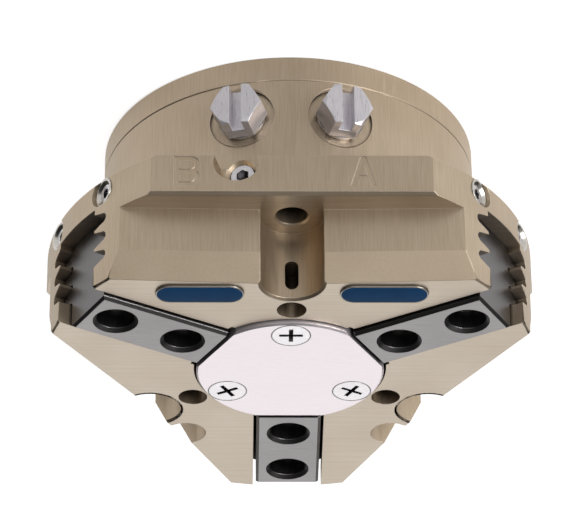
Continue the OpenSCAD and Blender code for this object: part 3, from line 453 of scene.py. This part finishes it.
def make_fuller(node, move, body="housing"):
    """A merged copy of a CAD node whose points are moved, in mm, by move. It stands in for the node.

    The moves are small and turn no face, so every corner keeps the exact normal that it had.
    """
    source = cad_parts[node].data
    shape = bmesh.new()
    shape.from_mesh(source)
    exact = shape.loops.layers.float_vector.new("exact")
    normals = iter([corner.vector.copy() for corner in source.corner_normals])
    for face in shape.faces:
        for corner in face.loops:
            corner[exact] = next(normals)
    bmesh.ops.remove_doubles(shape, verts=shape.verts, dist=1e-6)
    points = np.array([vert.co for vert in shape.verts]) / MM
    for vert, place in zip(shape.verts, move(points) * MM):
        vert.co = place
    mesh = bpy.data.meshes.new(node + "_look")
    shape.to_mesh(mesh)
    shape.free()
    mesh.polygons.foreach_set("use_smooth", np.ones(len(mesh.polygons), bool))
    mesh.normals_split_custom_set([tuple(item.vector) for item in mesh.attributes["exact"].data])
    mesh.attributes.remove(mesh.attributes["exact"])
    mesh.materials.clear()
    mesh.materials.append(DRESS[node])
    mesh.polygons.foreach_set("material_index", np.zeros(len(mesh.polygons), np.int32))
    piece = bpy.data.objects.new(node + "_look", mesh)
    bpy.context.scene.collection.objects.link(piece)
    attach(piece, body)
    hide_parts(node)


make_fuller("housing", fuller_housing)
make_fuller("end_cover", lambda points: fuller_drum(points, 5, 9))
make_fuller("port_plugs", taller_plugs)
make_fuller("lobe_bushes", wider_screws)
make_fuller("lobe_screws", wider_screws)
for jaw in ("jaw_1", "jaw_2", "jaw_3"):
    make_fuller(jaw, wider_jaw, jaw)


# ---------------------------------------------------------------- badges

BADGE_LENGTH, BADGE_WIDTH = 18.4, 6.3
BADGE_RIM = 0.3      # the pale metal rim outside the enamel
BADGE_HEIGHT = 0.6


def pill_rings(inward, height, length, width, around=128):
    """Rings of a pill-shaped plate, one for each point (inward, height) of its profile, in mm.

    A ring point is the end centre +-(length - width) / 2 on the long axis plus a circle of radius
    width / 2 - inward. All rings share the two end centres, and the last one closes to the line between them.
    """
    turn = (np.arange(around) + 0.5) * 2 * np.pi / around
    centre = np.sign(np.cos(turn)) * (length - width) / 2
    radius = (width / 2 - np.asarray(inward))[:, None]
    x = centre[None, :] + radius * np.cos(turn)
    y = radius * np.sin(turn)
    z = np.repeat(np.asarray(height)[:, None], around, axis=1)
    return np.stack([x, y, z], axis=2)


def make_badges():
    """Two bare enamelled plates: a rounded metal rim, and inside it enamel that rises to a low dome.

    The dome's height over its rim is 0.12 (1 - (r / R) ** 2) mm, where r / R is the share of the way out.
    """
    low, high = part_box("badge_plates")
    rim_in = np.array([BADGE_WIDTH / 2, 0.0, 0.0, 0.04, 0.10, 0.18, 0.25, BADGE_RIM, BADGE_RIM + 0.02])
    rim_up = np.array([0.0, 0.0, 0.30, 0.42, 0.50, 0.53, 0.50, 0.44, 0.44])
    share = np.linspace(1, 0, 12)[1:]
    field_in = BADGE_WIDTH / 2 - (BADGE_WIDTH / 2 - BADGE_RIM - 0.02) * share
    field_up = 0.44 + 0.02 + (BADGE_HEIGHT - 0.46) * (1 - share ** 2)
    rings = pill_rings(np.append(rim_in, field_in), np.append(rim_up, field_up), BADGE_LENGTH, BADGE_WIDTH)
    rows, around = rings.shape[:2]
    row, column = np.meshgrid(np.arange(rows - 1), np.arange(around), indexing="ij")
    after = (column + 1) % around
    faces = np.stack([row * around + column, row * around + after, (row + 1) * around + after,
                      (row + 1) * around + column], axis=2).reshape(-1, 4)
    enamelled = np.repeat(np.arange(rows - 1) >= len(rim_in) - 1, around)

    points, quads = [], []
    for x in (low.x / MM + BADGE_LENGTH / 2, high.x / MM - BADGE_LENGTH / 2):
        quads.append(faces + len(points) * rings.shape[0] * around)
        points.append(rings.reshape(-1, 3) + (x, (low.y + high.y) / 2 / MM, low.z / MM))
    mesh = bpy.data.meshes.new("badges")
    mesh.from_pydata((np.concatenate(points) * MM).tolist(), [], np.concatenate(quads).tolist())
    mesh.polygons.foreach_set("material_index", np.tile(enamelled, 2).astype(np.int32))
    mesh.polygons.foreach_set("use_smooth", np.ones(len(mesh.polygons), bool))
    shape = bmesh.new()
    shape.from_mesh(mesh)
    bmesh.ops.remove_doubles(shape, verts=shape.verts, dist=1e-7)
    bmesh.ops.recalc_face_normals(shape, faces=shape.faces)
    shape.to_mesh(mesh)
    shape.free()
    mesh.materials.append(RIM)
    mesh.materials.append(ENAMEL)
    badges = bpy.data.objects.new("badges", mesh)
    bpy.context.scene.collection.objects.link(badges)
    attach(badges, "housing")
    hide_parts("badge_plates")


make_badges()


# ---------------------------------------------------------------- floor and light

# Glow of the paper for the camera, and for metal: before or behind the gripper, at +X and at -X.
PAPER_LIFT = 0.80
PAPER_ACROSS, PAPER_EAST, PAPER_WEST = 0.208, 0.577, 0.487


def make_floor():
    """White paper floor, 6 m square. What the camera sees of it is lifted to white, and the shadow stays."""
    mesh = bpy.data.meshes.new("floor")
    half = 3.0
    corners = [(-half, -half, 0), (half, -half, 0), (half, half, 0), (-half, half, 0)]
    mesh.from_pydata(corners, [], [(0, 1, 2, 3)])
    floor = bpy.data.objects.new("floor", mesh)
    bpy.context.scene.collection.objects.link(floor)
    material = bpy.data.materials.new("white_studio_floor")
    material.use_nodes = True
    tree = material.node_tree
    tree.nodes.clear()
    path = put(tree, "LightPath")
    # Painted reflection: for glossy rays the paper glows brighter beside the gripper, at +X and at -X, than
    # before and behind it, though no lamp adds that light there.
    place = put(tree, "TexCoord").outputs["Object"]
    reach = put(tree, "VectorMath", {0: place}, operation="LENGTH").outputs["Value"]
    aside = put(tree, "SeparateXYZ", {0: place}).outputs[0]
    aside = put(tree, "Math", {0: aside, 1: reach}, operation="DIVIDE").outputs[0]
    east = put(tree, "MapRange", {0: aside, 1: 0.0, 2: 1.0, 3: PAPER_ACROSS, 4: PAPER_EAST}).outputs[0]
    west = put(tree, "MapRange", {0: aside, 1: 0.0, 2: -1.0, 3: PAPER_ACROSS, 4: PAPER_WEST}).outputs[0]
    paper = put(tree, "Math", {0: east, 1: west}, operation="MAXIMUM").outputs[0]
    gloss = put(tree, "Math", {0: path.outputs["Is Glossy Ray"], 1: paper}, operation="MULTIPLY").outputs[0]
    seen = put(tree, "Math", {0: path.outputs["Is Camera Ray"], 1: path.outputs["Is Transmission Ray"]},
               operation="MAXIMUM").outputs[0]
    lift = put(tree, "Math", {0: seen, 1: PAPER_LIFT, 2: gloss}, operation="MULTIPLY_ADD").outputs[0]
    glow = put(tree, "Emission", {"Color": (1, 1, 1, 1), "Strength": lift}).outputs[0]
    matt = put(tree, "BsdfDiffuse", {"Color": linear("F2F2F2")}).outputs[0]
    put(tree, "OutputMaterial", {"Surface": put(tree, "AddShader", {0: matt, 1: glow}).outputs[0]})
    mesh.materials.append(material)


def make_lamp(name, place, width, height, watts, tint="FFFFFF"):
    """Rectangular soft lamp at place, in metres, that faces the middle of the gripper."""
    data = bpy.data.lights.new(name, "AREA")
    data.shape, data.size, data.size_y, data.energy = "RECTANGLE", width, height, watts
    data.color = linear(tint)[:3]
    lamp = bpy.data.objects.new(name, data)
    bpy.context.scene.collection.objects.link(lamp)
    aim = Vector((0, 0, 0.03)) - Vector(place)
    lamp.rotation_mode = "QUATERNION"
    lamp.rotation_quaternion = aim.to_track_quat("-Z", "Y")
    lamp.location = place
    lamp.visible_camera = False


def make_light():
    """A broad lamp beyond the gripper that its level faces mirror, and three more round the ports' side."""
    world = bpy.data.worlds.new("room")
    bpy.context.scene.world = world
    world.use_nodes = True
    tree = world.node_tree
    tree.nodes.clear()
    path = put(tree, "LightPath")
    level = put(tree, "MapRange", {0: path.outputs["Is Camera Ray"], 3: 0.03, 4: 1.0}).outputs[0]
    room = put(tree, "Background", {"Color": (1, 1, 1, 1), "Strength": level}).outputs[0]
    put(tree, "OutputWorld", {"Surface": room})
    make_lamp("beyond", (0.0, 0.95, 0.62), 1.5, 1.1, 5.87)
    make_lamp("right", (-0.95, -0.15, 0.45), 0.8, 0.8, 0.56)
    make_lamp("front", (0.0, -1.3, 0.62), 1.6, 0.8, 2.95)
    make_lamp("front_right", (-0.8, -0.8, 0.30), 0.6, 0.8, 8.67)


make_camera()
make_floor()
make_light()
view = bpy.context.scene.view_settings
view.view_transform = "Standard"
